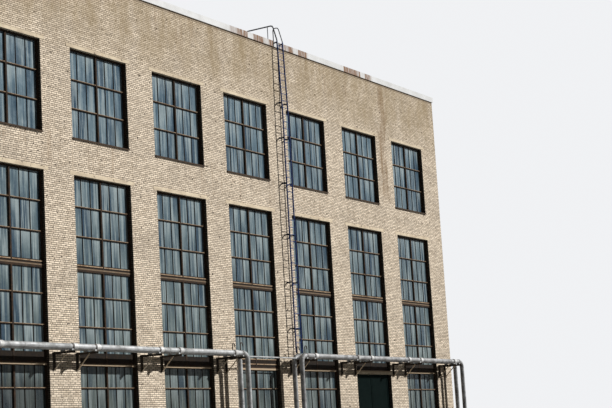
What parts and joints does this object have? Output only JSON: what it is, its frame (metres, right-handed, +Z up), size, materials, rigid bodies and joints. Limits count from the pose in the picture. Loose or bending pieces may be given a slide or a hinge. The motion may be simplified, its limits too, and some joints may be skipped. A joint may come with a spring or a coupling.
{
  "type": "brick factory building section",
  "caption": "Long brick factory block with tall gridded windows, a flat roof behind a parapet, wall pipe racks, a roof ladder and a double gate.",
  "frame": {"origin": "on the ground at the middle of the plan inside the outer wall faces", "axes": "+X along the front from left to right as seen from outside, +Y from the front to the back, +Z up"},
  "size_m": [36.76, 17.715, 20.81],
  "materials": {
    "brick": "matt buff facing brick, weathered",
    "concrete": "matt cast concrete",
    "roofing": "dark felt on concrete",
    "coping_sheet": "pale sheet with rust",
    "window_steel": "old brown paint with rust",
    "window_glass": "dusty",
    "gate_paint": "dark green paint",
    "bracket_steel": "dark weathered steel",
    "pipe_jacket": "galvanised sheet",
    "ladder_paint": "weathered blue paint"
  },
  "bodies": {
    "building": {"back_lintels": "concrete", "back_piers": "brick", "back_spandrels": "brick", "back_window_frames": "window_steel", "back_window_glass": "window_glass", "front_lintels": "concrete", "front_piers": "brick", "front_spandrels": "brick", "front_window_frames": "window_steel", "front_window_glass": "window_glass", "gate_frame": "gate_paint", "gate_threshold": "concrete", "ground_floor": "concrete", "ladder_standoffs": "ladder_paint", "left_end_lintels": "concrete", "left_end_piers": "brick", "left_end_spandrels": "brick", "left_end_window_frames": "window_steel", "left_end_window_glass": "window_glass", "left_rack_brackets": "bracket_steel", "left_rack_front_pipe": "pipe_jacket", "left_rack_rear_pipe": "pipe_jacket", "left_rack_saddles": "pipe_jacket", "left_rack_vents": "bracket_steel", "parapet_coping": "coping_sheet", "rack_link_pipe": "pipe_jacket", "right_end_lintels": "concrete", "right_end_piers": "brick", "right_end_spandrels": "brick", "right_end_window_frames": "window_steel", "right_end_window_glass": "window_glass", "right_rack_brackets": "bracket_steel", "right_rack_front_pipe": "pipe_jacket", "right_rack_rear_pipe": "pipe_jacket", "right_rack_saddles": "pipe_jacket", "right_rack_vents": "bracket_steel", "roof_handrails": "ladder_paint", "roof_ladder": "ladder_paint", "roof_slab": "roofing", "upper_floor": "concrete"},
    "gate_leaf_left": {"gate_leaf_left": "gate_paint"},
    "gate_leaf_right": {"gate_leaf_right": "gate_paint"}
  },
  "joints": [
    {"name": "gate_left_hinge", "type": "hinge", "parent": "building", "child": "gate_leaf_left", "pos_m": [8.4125, -8.207, 0], "axis": [0, 0, -1], "range_deg": [0, 90]},
    {"name": "gate_right_hinge", "type": "hinge", "parent": "building", "child": "gate_leaf_right", "pos_m": [11.5875, -8.207, 0], "axis": [0, 0, 1], "range_deg": [0, 90]}
  ]
}
